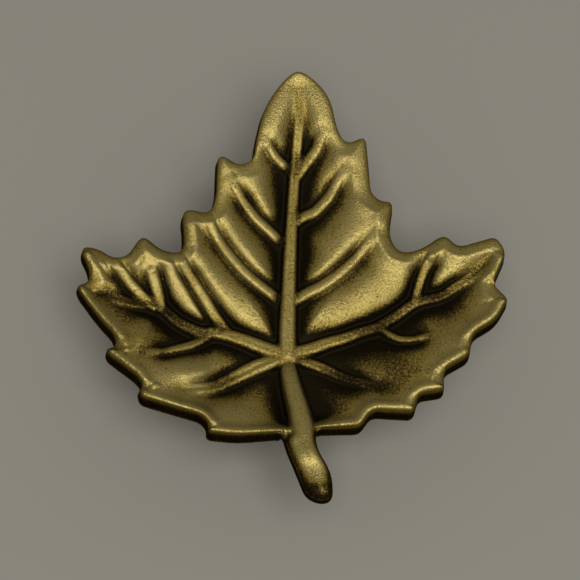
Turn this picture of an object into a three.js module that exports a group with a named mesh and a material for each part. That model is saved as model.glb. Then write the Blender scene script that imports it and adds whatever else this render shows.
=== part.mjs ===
// A cabinet knob in the shape of a lobed leaf, die-cast as one piece. The leaf is a shallow dish with raised
// veins, puffed blades between them and a rounded rim. Its stalk runs over the rim and bends down at the end.
// A round post on the back stands on the door and has a blind hole for the fixing screw.
// Millimetres. The post's foot is on z = 0 at the origin, +Z points out of the door, +Y to the leaf's tip.
import * as THREE from "three";

// Overall sizes
const leafWidth = 51;
const leafLength = 53;
const projection = 17;

// The dish: its lowest point in plan, how far it rises at its rim, the fold along each main vein, and how the
// end of the left lobe droops
const bowlCentreY = -3;
const bowlRise = 1.9;
const bowlReach = 25;
const foldRise = 1.6;
const foldReach = 3.8;
const foldPower = 1.6;
const foldBlend = 0.8;
const lowerFoldEase = 1;
const foldEndsFrom = 0.55;
const foldRunOut = 3.2;
const leftDroop = 1;
const leftDroopFromX = -17;
const leftDroopFullX = -25;

// A vein low in the dish lies nearer the tip than it is drawn: millimetres in x and y for each one of depth
const sinkLean = [0.1, 0.35];

// The blades between the veins, which below the junction puff up with their distance from it, and the
// gutters that sink beside each vein
const bladePuff = 1.05;
const lowerPuffFrom = 2;
const lowerPuffFull = 13;
const lowerPuffFromY = -6;
const lowerPuffFullY = -9;
const gutterAbove = 0.5;
const gutterBelow = 2.1;
const gutterLeftOfStalk = 1;
const gutterRightOfStalk = 4;
const gutterPower = 1.4;
const gutterLeftAtTip = 0.8;
const gutterFadesFrom = 0.7;
const gutterStartOfFoot = 0.9;
const veinFlank = 0.22;
const veinCrown = 3.4;
const veinFadesFrom = 0.78;

// The rim falls off over a band that starts at a low crest; its fall is partly a slope and partly rounded.
// Its kinds: the side lobes' upper edges, the middle lobe, the lower edges. Veins and folds end short of it.
const sideRim = { band: 1.8, crest: 0.25, reach: 0.7, drop: 1.05, round: 0.2 };
const tipRim = { band: 2.2, crest: 0.1, reach: 1.3, drop: 0.85, round: 0.35 };
const lowerLeftRim = { band: 0.65, crest: 0.34, reach: 0.75, drop: 0.55, round: 0.95 };
const lowerRightRim = { band: 0.95, crest: 0.34, reach: 0.75, drop: 0.9, round: 0.95 };
const lowerRimLeftX = -3;
const lowerRimRightX = 5;
const lowerRimFacingFrom = -0.2;
const lowerRimFacingFull = 0.6;
const rimLevel = 0.8;
const rimLevelReach = 1.3;
const tipRimFromY = 6;
const tipRimFullY = 11;

// The wall, which is deeper below the stalk's side of the dish, and the back
const wallDraft = 0.24;
const upperSkirt = 1.8;
const lowerSkirt = 2.2;
const skirtDeepensFromY = 2;
const skirtDeepestY = -10;
const skirtReach = 3;
const backThickness = 2.3;
const backFoldShare = 0.55;
const thinnestWall = 0.5;
const edgeSlack = 0.1;

// The stalk: heights of its axis over the dish's floor, evenly spaced from the junction over the rim to its end
const stalkAxisRise = [-0.8, 0.4, 1.15, 1.75, 2.25, 2.5, 0.8];
const stalkHalfDepth = 1.5;
const stalkCrown = [3.4, 2.2];
const stalkWidening = 1.1;
const stalkFlank = 0.97;
const stalkFlankFall = 3;
const stalkFillsOver = 1.1;
const stalkSides = [1.3, 0.85];
const stalkWebFall = 0.6;

// The low boss where the main veins and the stalk meet
const hubRadius = 2.1;
const hubHeight = 1.15;

// The post and the hole for an M4 screw
const postFootRadius = 6;
const postRootRadius = 6.8;
const postFillet = 2;
const postFootChamfer = 0.5;
const screwHoleRadius = 1.65;
const screwHoleDepth = 9;
const screwHoleMouthRadius = 2.1;
const screwTipDepth = 0.9;

// Spacing of the mesh, and the shares of it that neighbours keep clear of each other
const rimStep = 0.66;
const rimRings = [0.65, 1.15, 1.7];
const backRings = [0.7];
const veinStep = 0.58;
const bladeStep = 0.82;
const backStep = 1.75;
const clearOfRim = 0.5;
const clearOnRings = 0.6;
const clearOnVeins = 0.42;
const clearInFill = 0.62;
const postSides = 40;

const clamp = THREE.MathUtils.clamp;
const smoothstep = THREE.MathUtils.smoothstep;
const lerp = THREE.MathUtils.lerp;

// Corners of the leaf's blade, from the tip round by the left: x, y and how far from the corner its bend
// starts. The stalk leaves between the last corner of bladeLeft and the first of bladeRight.
const bladeLeft = [
  [-0.2, 26.6, 3], [-3.4, 22.4, 3], [-4.45, 18.2, 3], [-4.8, 15.5, 1.1], [-6.4, 14.85, 1],
  [-8.1, 16, 0.9], [-9.15, 15.7, 0.9], [-9.25, 13, 1.5], [-9.3, 10.8, 1], [-9.95, 8.8, 1],
  [-12, 9.2, 0.7], [-13.05, 9, 1], [-13.4, 7.7, 1.2], [-13.15, 6, 1], [-13.2, 3.75, 1],
  [-15.5, 4, 0.9], [-17.95, 5.95, 1.4], [-19.8, 3.1, 0.9], [-21.35, 2.95, 0.9], [-22.9, 4, 0.8],
  [-24.95, 4.35, 1.2], [-25.35, 3.1, 0.8], [-24.4, 1.3, 0.7], [-24.2, 0, 0.7], [-25.75, -0.7, 0.5],
  [-25.5, -1.7, 0.7], [-22.9, -5.15, 1.5], [-21.3, -6.85, 0.7], [-20.95, -7.9, 0.4], [-22.1, -8.3, 0.4],
  [-22, -9.3, 0.6], [-18.4, -12.1, 0.6], [-17.8, -13, 0.3], [-18.3, -13.4, 0.4], [-17.95, -14.7, 0.6],
  [-10.9, -16.6, 0.6], [-10.15, -17.5, 0.4], [-10.2, -18.7, 0.7], [-6.5, -19, 1.5], [-1.4, -18.4, 0.7],
];
const stalkOutline = [
  [-0.4, -21.8, 2], [1.75, -25.85, 1.6], [4.65, -26.05, 1.7], [4.75, -23.1, 1.6], [2.85, -20.1, 1.4],
];
const bladeRight = [
  [2.6, -17.8, 0.9], [7.85, -17.75, 0.8], [9.3, -15.7, 0.8], [14.2, -16.05, 0.8], [14.9, -13.75, 0.6],
  [17.95, -13.3, 0.8], [18, -10.7, 0.7], [21.05, -9, 0.9], [21.5, -6.35, 0.8], [24.3, -4.75, 1.2],
  [26, -1.9, 0.9], [24.2, 0.1, 0.7], [26, 4, 1.5], [24.5, 6.15, 0.9], [20, 4.95, 0.8],
  [18.35, 6.7, 1.5], [15.5, 4.7, 1.5], [13, 4.25, 1.4], [11.95, 6.2, 1.4], [12.1, 8.2, 1],
  [12.5, 10.55, 1.1], [10.7, 10.8, 0.6], [9.75, 11.8, 0.8], [9.55, 14.9, 1.5], [9.2, 18.85, 1.3],
  [6.7, 17.8, 0.9], [5.75, 19.4, 1.3], [4.85, 23.7, 2], [1.8, 26.6, 2.5],
];

// Veins from root to tip: widths and heights at both ends, and points on the crest. The veins left of the
// midrib sink into its gutter over a share of their length. Some have gutters of their own above and below.
const junction = [-0.7, -8.8];
const veins = {
  midrib: {
    width: [2.2, 1], height: [1.25, 0.7], main: true, gutters: [1.3, 1.3],
    points: [junction, [-0.65, -5], [-0.45, 0], [-0.2, 5], [0.1, 10], [0.4, 14], [0.75, 18], [0.95, 21],
      [0.8, 24.3]],
  },
  rightMain: {
    width: [1.8, 1], height: [1.1, 0.6], main: true, gutters: [0.5, 3.6],
    points: [junction, [2, -8.1], [4, -7.3], [6, -6.7], [8, -5.9], [10.1, -5.2], [12.6, -3.6], [14.7, -2.1],
      [17.8, -1.3], [19.3, -0.4], [21, 0.7], [23.5, 2.8]],
  },
  rightUpperBranch: {
    width: [1.3, 1.1], height: [0.85, 0.5], gutters: [0.7, 0.7],
    points: [[14.7, -2.1], [15.2, 0], [15.9, 1.9], [17.3, 4.3]],
  },
  rightLowerBranch: {
    width: [1, 0.6], height: [0.85, 0.35], gutters: [0.9, 0.9],
    points: [[10.3, -5.2], [11.7, -6.1], [12.8, -6.5], [14.2, -6.5], [16.6, -6]],
  },
  rightLow: {
    width: [1.6, 0.8], height: [0.95, 0.35], low: true,
    points: [junction, [2, -9.8], [4, -10.6], [6, -11.5], [9.8, -12.9]],
  },
  leftMain: {
    width: [2, 1.1], height: [1.15, 0.5], main: true,
    points: [junction, [-2.8, -8.3], [-5, -7.4], [-7, -6.7], [-9, -6.2], [-10.6, -6.3], [-12, -5.8],
      [-13.8, -4.8], [-15.2, -3.6], [-16.5, -3], [-18.7, -2.9], [-20.7, -2.5], [-22.8, -1.9]],
  },
  leftOuterBranch: {
    width: [1.5, 1], height: [0.9, 0.4], gutters: [0.9, 0.9],
    points: [[-16.4, -3], [-17.5, -2.2], [-18.9, -0.7], [-20.2, 0.8], [-21.9, 2.7]],
  },
  leftMiddleBranch: {
    width: [1.5, 1.6], height: [0.95, 0.75], gutters: [0.5, 0.5],
    points: [[-15.7, -3.1], [-16, -1.6], [-16.25, -0.4], [-16.6, 0.8], [-17, 1.9]],
  },
  leftLowerBranch: {
    width: [1.3, 0.7], height: [0.85, 0.35], gutters: [0.9, 0.9],
    points: [[-9.8, -6.3], [-11.8, -7.5], [-13.8, -8.1], [-15.8, -8.6], [-17.4, -8.9]],
  },
  leftInnerBranch: {
    width: [1.6, 1.1], height: [0.85, 0.4], gutters: [0.7, 0.3],
    points: [[-7.6, -6.5], [-9.3, -4.2], [-10.3, -2.4], [-11.5, -0.3], [-12.6, 1.5], [-14.1, 3.6]],
  },
  leftLow: {
    width: [2.2, 1.2], height: [1.1, 0.45], low: true,
    points: [junction, [-2.05, -9.4], [-4, -10.2], [-6, -11.2], [-7.9, -12.2], [-9.9, -13.1], [-12.9, -13.5]],
  },
  leftSideUpper: {
    width: [1.3, 0.9], height: [0.8, 0.4], sunkRoot: 0.3,
    points: [[0.4, 14.1], [-1.2, 15.4], [-2.2, 16.5], [-3.3, 18]],
  },
  leftSideMiddle: {
    width: [1.4, 1], height: [0.9, 0.4], sunkRoot: 0.2,
    points: [[-0.4, 4.6], [-1.9, 5.9], [-3, 7], [-4.4, 8.4], [-6, 10.65], [-7.4, 13]],
  },
  leftSideLower: {
    width: [1.4, 1], height: [0.9, 0.4], sunkRoot: 0.16,
    points: [[-0.7, -2.7], [-2.2, -1.5], [-5, 0.8], [-6.75, 2.65], [-8.3, 4.7], [-9.5, 6.6], [-10.5, 8.7]],
  },
  rightSideUpper: {
    width: [1.8, 1.1], height: [0.85, 0.45],
    points: [[0.45, 13.6], [1.4, 15], [2.85, 16.8], [3.4, 18], [3.6, 19.1]],
  },
  rightSideMiddle: {
    width: [1.6, 1], height: [0.85, 0.4],
    points: [[0.1, 7.6], [1.3, 8.5], [2.6, 9.1], [3.5, 9.95], [4.5, 11.1], [5.2, 12.3], [6.4, 14.4]],
  },
  rightSideLower: {
    width: [1.6, 1], height: [0.85, 0.4],
    points: [[-0.55, -2.6], [1.4, -1.25], [3.36, -0.2], [5.3, 1.2], [6.9, 2.65], [8.25, 4.1], [10.1, 6.5]],
  },
};
const stalk = {
  width: [2.2, 3.8],
  points: [junction, [-0.5, -11.3], [-0.05, -13.5], [0.45, -15.5], [0.9, -17.7], [1.25, -19.8], [1.95, -21.9],
    [2.75, -24.7]],
};

// The corners are drawn near the overall sizes; the drawing is centred and stretched to meet them exactly
const wholeCorners = [...bladeLeft, ...stalkOutline, ...bladeRight];
const drawnBox = new THREE.Box2().setFromPoints(roundedPath(wholeCorners).getPoints(8));
const drawnSize = drawnBox.getSize(new THREE.Vector2());
const drawnCentre = drawnBox.getCenter(new THREE.Vector2());
const stretch = new THREE.Vector2(leafWidth / drawnSize.x, leafLength / drawnSize.y);
const meshScale = Math.sqrt(stretch.x * stretch.y);

function placed([x, y]) {
  return new THREE.Vector2((x - drawnCentre.x) * stretch.x, (y - drawnCentre.y) * stretch.y);
}

// A closed path through the corners, each one rounded by a curve no longer than half its sides
function roundedPath(corners, place = ([x, y]) => new THREE.Vector2(x, y)) {
  const path = new THREE.Path();
  const points = corners.map(place);
  corners.forEach(([, , bend], i) => {
    const corner = points[i];
    const before = points[(i + points.length - 1) % points.length];
    const after = points[(i + 1) % points.length];
    const into = Math.min(bend, corner.distanceTo(before) / 2);
    const outOf = Math.min(bend, corner.distanceTo(after) / 2);
    const start = corner.clone().add(before.clone().sub(corner).setLength(into));
    const end = corner.clone().add(after.clone().sub(corner).setLength(outOf));
    if (i === 0) path.moveTo(start.x, start.y);
    else path.lineTo(start.x, start.y);
    path.quadraticCurveTo(corner.x, corner.y, end.x, end.y);
  });
  path.closePath();
  return path;
}

function spacedLoop(path, step) {
  const count = Math.round(path.getLength() / (step * meshScale));
  return path.getSpacedPoints(count).slice(0, count);
}

const outline = spacedLoop(roundedPath(wholeCorners, placed), rimStep);
const bladeOutline = spacedLoop(roundedPath([...bladeLeft, ...bladeRight], placed), rimStep);

// Points along a vein through its drawn points, each moved for the depth of the dish where it lies
function lineOf(points, foldAt) {
  const settled = points.map((point) => {
    const p = placed(point);
    const depth = Math.max(0, bowlRise - bowl(p.x, p.y) - foldAt(p.x, p.y));
    return new THREE.Vector2(p.x + sinkLean[0] * depth, p.y + sinkLean[1] * depth);
  });
  const curve = new THREE.SplineCurve(settled);
  return curve.getSpacedPoints(Math.ceil(curve.getLength() / (veinStep * meshScale)));
}

// How far a point is from a line, how far along the line its foot is, the way from the line to it, and how
// much the line runs to the right there, as the lower edges do
function nearest(line, x, y, closed = false) {
  let gap = Infinity;
  let share = 0;
  let awayX = 0;
  let awayY = 0;
  let rightward = 0;
  const spans = closed ? line.length : line.length - 1;
  for (let i = 0; i < spans; i++) {
    const a = line[i];
    const b = line[(i + 1) % line.length];
    const dx = b.x - a.x;
    const dy = b.y - a.y;
    const t = clamp(((x - a.x) * dx + (y - a.y) * dy) / (dx * dx + dy * dy), 0, 1);
    const offX = x - a.x - t * dx;
    const offY = y - a.y - t * dy;
    const distance = Math.hypot(offX, offY);
    if (distance < gap) {
      gap = distance;
      share = (i + t) / spans;
      awayX = offX / (distance || 1);
      awayY = offY / (distance || 1);
      rightward = dx / Math.hypot(dx, dy);
    }
  }
  return { gap, share, awayX, awayY, rightward };
}

function contains(loop, x, y) {
  let inside = false;
  for (let i = 0, j = loop.length - 1; i < loop.length; j = i++) {
    const a = loop[i];
    const b = loop[j];
    if (a.y > y !== b.y > y && x < ((b.x - a.x) * (y - a.y)) / (b.y - a.y) + a.x) inside = !inside;
  }
  return inside;
}

function bowl(x, y) {
  const droop = leftDroop * smoothstep(-x, -leftDroopFromX, -leftDroopFullX);
  return bowlRise * (Math.hypot(x, y - bowlCentreY) / bowlReach) ** 2 - droop;
}

// The rise of the dish away from its main veins, as in a leaf that is folded along each of them. The folds run
// out toward the veins' tips.
function fold(x, y) {
  const gapTo = ({ gap, share }) => gap + foldRunOut * smoothstep(share, foldEndsFrom, 1);
  const mainGap = Math.min(...mainLines.map((line) => gapTo(nearest(line, x, y))));
  const lowGap = Math.min(...lowLines.map((line) => gapTo(nearest(line, x, y)))) + lowerFoldEase;
  const both = -foldBlend * Math.log(Math.exp(-mainGap / foldBlend) + Math.exp(-lowGap / foldBlend));
  return foldRise * (1 - Math.exp(-((Math.max(0, both) / foldReach) ** foldPower)));
}

// The main veins lie in the folds, so they are settled first and the side veins on the folded dish
const isMain = (vein) => vein.main || vein.low || vein === stalk;
for (const vein of [...Object.values(veins), stalk].filter(isMain)) vein.line = lineOf(vein.points, () => 0);
const mainLines = [...Object.values(veins).filter((vein) => vein.main), stalk].map((vein) => vein.line);
const lowLines = Object.values(veins).filter((vein) => vein.low).map((vein) => vein.line);
for (const vein of Object.values(veins).filter((vein) => !isMain(vein))) vein.line = lineOf(vein.points, fold);

function widthAt(vein, share) {
  return lerp(vein.width[0], vein.width[1], share);
}

// The veins' crests over the dish, and how free of gutters the point is, from 0 to 1
function veinRelief(x, y, stalkGap, besideStalk) {
  const fromHub = Math.min(1, Math.hypot(x - stalk.line[0].x, y - stalk.line[0].y) / hubRadius);
  let crest = hubHeight * (1 - fromHub ** veinCrown);
  const stalkReach = lerp(gutterLeftOfStalk, gutterRightOfStalk, smoothstep(stalkGap.awayX, -1, 1));
  let free = 1 - Math.exp(-((besideStalk / stalkReach) ** gutterPower));
  for (const vein of Object.values(veins)) {
    const { gap, share, awayY } = nearest(vein.line, x, y);
    const foot = widthAt(vein, share) / 2 + veinFlank;
    const rooted = vein.sunkRoot ? smoothstep(share, 0, vein.sunkRoot) : 1;
    const fade = 1 - smoothstep(share, veinFadesFrom, 1);
    const height = rooted * fade * lerp(vein.height[0], vein.height[1], share);
    crest = Math.max(crest, height * (1 - Math.min(1, gap / foot) ** veinCrown));
    const [above, below] = vein.gutters || [gutterAbove, gutterBelow];
    const reach = lerp(below, above, smoothstep(awayY, -1, 1));
    const left = 1 - gutterLeftAtTip * smoothstep(share, gutterFadesFrom, 1);
    free *= 1 - left * Math.exp(-((Math.max(0, gap - gutterStartOfFoot * foot) / reach) ** gutterPower));
  }
  return { crest, free };
}

// The rim's measures at a point: which kind counts depends on its place and the way its edge faces
function rimAt(x, y, edgeFacesDown) {
  const tip = smoothstep(y, tipRimFromY, tipRimFullY);
  const lower = smoothstep(edgeFacesDown, lowerRimFacingFrom, lowerRimFacingFull) * (1 - tip);
  const right = smoothstep(x, lowerRimLeftX, lowerRimRightX);
  const bottom = (key) => lerp(lowerLeftRim[key], lowerRightRim[key], right);
  const mix = (key) => lerp(lerp(sideRim[key], tipRim[key], tip), bottom(key), lower);
  return Object.fromEntries(Object.keys(sideRim).map((key) => [key, mix(key)]));
}

const stalkAxis = new THREE.SplineCurve(
  stalkAxisRise.map((rise, i) => new THREE.Vector2(i / (stalkAxisRise.length - 1), rise)),
);

// Heights of face and back over the floor of the dish. Off the blade the stalk fills its own outline.
function relief(x, y) {
  const stalkGap = nearest(stalk.line, x, y);
  const { gap, share } = stalkGap;
  const halfWidth = lerp(stalk.width[0], stalk.width[1], share ** stalkWidening) / 2;
  const edge = nearest(bladeOutline, x, y, true);
  const offBlade = edge.gap > edgeSlack && !contains(bladeOutline, x, y);
  const fills = offBlade ? smoothstep(edge.gap, 0, stalkFillsOver) : 0;
  const side = halfWidth * lerp(stalkSides[0], stalkSides[1], smoothstep(stalkGap.awayX, -1, 1));
  const across = lerp(gap / halfWidth, 1 - nearest(outline, x, y, true).gap / side, fills);
  const crown = lerp(stalkCrown[0], stalkCrown[1], share);
  const halfHeight = stalkHalfDepth * Math.sqrt(1 - clamp(across, 0, stalkFlank) ** crown);
  const axis = stalkAxis.getPoint(share).y;
  const flankFall = stalkFlankFall * Math.max(0, gap - stalkFlank * halfWidth) * (1 - fills);
  const bar = axis + halfHeight - (offBlade ? Math.min(flankFall, stalkWebFall) : flankFall);
  if (offBlade) return { face: bar, back: Math.min(axis - halfHeight, bar - thinnestWall) };
  const rim = rimAt(x, y, edge.rightward);
  const level = rimLevel * Math.exp(-((edge.gap / rimLevelReach) ** 2));
  const dish = bowl(x, y);
  const folded = lerp(fold(x, y), foldRise, level);
  const { crest, free } = veinRelief(x, y, stalkGap, Math.max(0, gap - halfWidth));
  const inward = Math.max(0, edge.gap - rim.band);
  const outward = clamp(1 - edge.gap / rim.band, 0, 1);
  const fall = lerp(outward, 1 - Math.sqrt(1 - outward ** 2), rim.round);
  const hubGap = Math.hypot(x - stalk.line[0].x, y - stalk.line[0].y);
  const fromHub = smoothstep(hubGap, lowerPuffFrom, lowerPuffFull);
  const puff = bladePuff * (1 - smoothstep(-y, -lowerPuffFromY, -lowerPuffFullY) * (1 - fromHub));
  const blade = dish + folded + puff * lerp(free, 1, level) + crest - rim.drop * fall
    + rim.crest * Math.exp(-((inward / rim.reach) ** 2));
  const face = Math.max(blade, bar);
  const nearRim = Math.exp(-((edge.gap / skirtReach) ** 2));
  const skirt = lerp(lowerSkirt, upperSkirt, smoothstep(y, skirtDeepestY, skirtDeepensFromY));
  const back = dish + lerp(backFoldShare * folded - backThickness, folded - skirt, nearRim);
  return { face, back: Math.min(back, face - thinnestWall) };
}

// Sites for the mesh: the rim, rings inside it, lines along the veins, then an even fill
function makeSites(loop, rings, lines, step, holeRadius = 0) {
  const sites = loop.map((p) => [p.x, p.y]);
  const rim = sites.length;
  const add = (x, y, clear) => {
    if (!contains(loop, x, y) || Math.hypot(x, y) < holeRadius + clear) return;
    if (nearest(loop, x, y, true).gap < clearOfRim * rimStep * meshScale) return;
    if (sites.every(([a, b]) => (a - x) ** 2 + (b - y) ** 2 > clear * clear)) sites.push([x, y]);
  };
  for (const ring of rings) {
    loop.forEach((p, i) => {
      const before = loop[(i + loop.length - 1) % loop.length];
      const after = loop[(i + 1) % loop.length];
      const along = after.clone().sub(before).normalize();
      add(p.x - along.y * ring, p.y + along.x * ring, clearOnRings * rimStep * meshScale);
    });
  }
  for (const { line, offsets } of lines) {
    for (const offset of offsets) {
      line.forEach((p, i) => {
        const before = line[Math.max(0, i - 1)];
        const after = line[Math.min(line.length - 1, i + 1)];
        const along = after.clone().sub(before).normalize();
        const half = offset(i / (line.length - 1));
        add(p.x - along.y * half, p.y + along.x * half, clearOnVeins * veinStep * meshScale);
      });
    }
  }
  const row = step * meshScale * Math.sqrt(0.75);
  const pitch = step * meshScale;
  for (let j = -Math.ceil(leafLength / 2 / row); j * row < leafLength / 2; j++) {
    for (let i = -Math.ceil(leafWidth / 2 / pitch); i * pitch < leafWidth / 2; i++) {
      add((i + (j % 2 ? 0.5 : 0)) * pitch, j * row, clearInFill * step * meshScale);
    }
  }
  return { sites, rim };
}

// Delaunay triangles of the sites: each new site opens the triangles whose circle holds it
function triangulate(sites) {
  const far = 100 * leafLength;
  const points = [...sites, [-far, -far], [far, -far], [0, far]];
  const n = sites.length;
  const withCircle = (a, b, c) => {
    const [ax, ay] = points[a];
    const bx = points[b][0] - ax;
    const by = points[b][1] - ay;
    const cx = points[c][0] - ax;
    const cy = points[c][1] - ay;
    const twice = 2 * (bx * cy - by * cx);
    const ux = (cy * (bx * bx + by * by) - by * (cx * cx + cy * cy)) / twice;
    const uy = (bx * (cx * cx + cy * cy) - cx * (bx * bx + by * by)) / twice;
    return { a, b, c, x: ax + ux, y: ay + uy, r2: ux * ux + uy * uy };
  };
  let triangles = [withCircle(n, n + 1, n + 2)];
  for (let i = 0; i < n; i++) {
    const [x, y] = points[i];
    const open = [];
    const kept = [];
    for (const t of triangles) {
      if ((t.x - x) ** 2 + (t.y - y) ** 2 < t.r2 * (1 - 1e-12)) open.push(t);
      else kept.push(t);
    }
    const sides = new Map();
    for (const t of open) {
      for (const [p, q] of [[t.a, t.b], [t.b, t.c], [t.c, t.a]]) {
        if (!sides.delete(q + "," + p)) sides.set(p + "," + q, [p, q]);
      }
    }
    for (const [p, q] of sides.values()) kept.push(withCircle(p, q, i));
    triangles = kept;
  }
  return triangles.filter((t) => Math.max(t.a, t.b, t.c) < n).map((t) => [t.a, t.b, t.c]);
}

function centroidOf(sites, triangle) {
  return [0, 1].map((axis) => triangle.reduce((sum, i) => sum + sites[i][axis], 0) / 3);
}

// Lines of sites along a vein: its crest, its shoulders, and its feet
const offsetsFor = (vein) => [
  () => 0,
  ...[1, -1].flatMap((side) => [
    (share) => (side * widthAt(vein, share)) / 4,
    (share) => side * (widthAt(vein, share) / 2 + veinFlank),
  ]),
];
const allVeins = [...Object.values(veins), stalk];
const veinLines = allVeins.map((vein) => ({ line: vein.line, offsets: offsetsFor(vein) }));
const face = makeSites(outline, rimRings, veinLines, bladeStep);
face.reliefs = face.sites.map(([x, y]) => relief(x, y));

// The floor of the dish is as high as puts the highest point of the face at the projection
const leafFloor = projection - Math.max(...face.reliefs.map((at) => at.face));

const positions = [];
const indices = [];
const addVertex = (x, y, z) => positions.push(x, y, z) / 3 - 1;
const addQuad = (a, b, c, d) => indices.push(a, b, c, a, c, d);

// The face, drawn in by the wall's draft along its rim
const inwardOf = (loop, i, distance) => {
  const before = loop[(i + loop.length - 1) % loop.length];
  const after = loop[(i + 1) % loop.length];
  const along = after.clone().sub(before).normalize();
  return [loop[i].x - along.y * distance, loop[i].y + along.x * distance];
};
face.sites.forEach(([x, y], i) => {
  const [px, py] = i < face.rim ? inwardOf(outline, i, wallDraft) : [x, y];
  addVertex(px, py, leafFloor + face.reliefs[i].face);
});
for (const t of triangulate(face.sites)) {
  if (contains(outline, ...centroidOf(face.sites, t))) indices.push(...t);
}

// The back, with a round opening where the post's fillet starts
const filletRadius = postRootRadius + postFillet;
const postRing = Array.from({ length: postSides }, (_, i) => {
  const turn = (2 * Math.PI * i) / postSides;
  return [filletRadius * Math.cos(turn), filletRadius * Math.sin(turn)];
});
const back = makeSites(outline, backRings, [], backStep, filletRadius);
back.sites.push(...postRing);
const backStart = positions.length / 3;
for (const [x, y] of back.sites) addVertex(x, y, leafFloor + relief(x, y).back);
for (const t of triangulate(back.sites)) {
  const [x, y] = centroidOf(back.sites, t);
  const inPost = t.every((i) => i >= back.sites.length - postSides);
  if (contains(outline, x, y) && !inPost) indices.push(...t.map((i) => backStart + i).reverse());
}

// The wall round the rim
for (let i = 0; i < outline.length; i++) {
  const next = (i + 1) % outline.length;
  addQuad(backStart + i, backStart + next, next, i);
}

// The post: rings down its fillet and side, over its foot and up into the screw hole
const rootHeights = postRing.map(([x, y]) => leafFloor + relief(x, y).back);
const filletFoot = Math.min(...rootHeights) - postFillet;
const filletArc = [0.25, 0.5, 0.75, 1].map((t) => {
  const turn = (t * Math.PI) / 2;
  return { r: filletRadius - postFillet * Math.sin(turn), down: postFillet * (1 - Math.cos(turn)) };
});
const postProfile = [
  { r: postFootRadius, z: postFootChamfer },
  { r: postFootRadius - postFootChamfer, z: 0 },
  { r: screwHoleMouthRadius, z: 0 },
  { r: screwHoleRadius, z: screwHoleMouthRadius - screwHoleRadius },
  { r: screwHoleRadius, z: screwHoleDepth },
];
let ringStart = backStart + back.sites.length - postSides;
const addRing = (heightOf, radius) => {
  const start = positions.length / 3;
  for (let i = 0; i < postSides; i++) {
    const turn = (2 * Math.PI * i) / postSides;
    addVertex(radius * Math.cos(turn), radius * Math.sin(turn), heightOf(i));
  }
  for (let i = 0; i < postSides; i++) {
    const next = (i + 1) % postSides;
    addQuad(ringStart + i, start + i, start + next, ringStart + next);
  }
  ringStart = start;
};
for (const { r, down } of filletArc) {
  const settled = down / postFillet;
  addRing((i) => lerp(rootHeights[i] - down, filletFoot, settled ** 2), r);
}
for (const { r, z } of postProfile) addRing(() => z, r);
const holeEnd = addVertex(0, 0, screwHoleDepth + screwTipDepth);
for (let i = 0; i < postSides; i++) indices.push(ringStart + i, holeEnd, ringStart + ((i + 1) % postSides));

const geometry = new THREE.BufferGeometry();
geometry.setAttribute("position", new THREE.Float32BufferAttribute(positions, 3));
geometry.setIndex(indices);
geometry.computeVertexNormals();

const agedBrass = new THREE.MeshStandardMaterial({ color: 0x8a7a3c, roughness: 0.35, metalness: 1 });
const leafKnob = new THREE.Mesh(geometry, agedBrass);
leafKnob.name = "leaf_knob";

const knob = new THREE.Group();
knob.add(leafKnob);

export default knob;
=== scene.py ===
import math
import bpy
import numpy as np
from mathutils import Matrix, Vector
from mathutils.geometry import delaunay_2d_cdt


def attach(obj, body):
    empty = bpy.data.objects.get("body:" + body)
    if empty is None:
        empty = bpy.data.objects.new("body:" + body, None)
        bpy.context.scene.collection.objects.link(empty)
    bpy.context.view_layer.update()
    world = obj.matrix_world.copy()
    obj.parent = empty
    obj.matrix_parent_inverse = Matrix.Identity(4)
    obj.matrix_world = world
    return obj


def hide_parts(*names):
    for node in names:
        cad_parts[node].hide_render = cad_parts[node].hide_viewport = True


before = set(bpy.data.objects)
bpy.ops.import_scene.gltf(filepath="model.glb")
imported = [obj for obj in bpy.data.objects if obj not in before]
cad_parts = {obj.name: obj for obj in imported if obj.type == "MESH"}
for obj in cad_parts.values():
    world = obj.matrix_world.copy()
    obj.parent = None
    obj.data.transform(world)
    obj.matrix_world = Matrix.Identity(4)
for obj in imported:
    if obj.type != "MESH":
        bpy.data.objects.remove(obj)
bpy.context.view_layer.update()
print("frame loaded")

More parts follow.
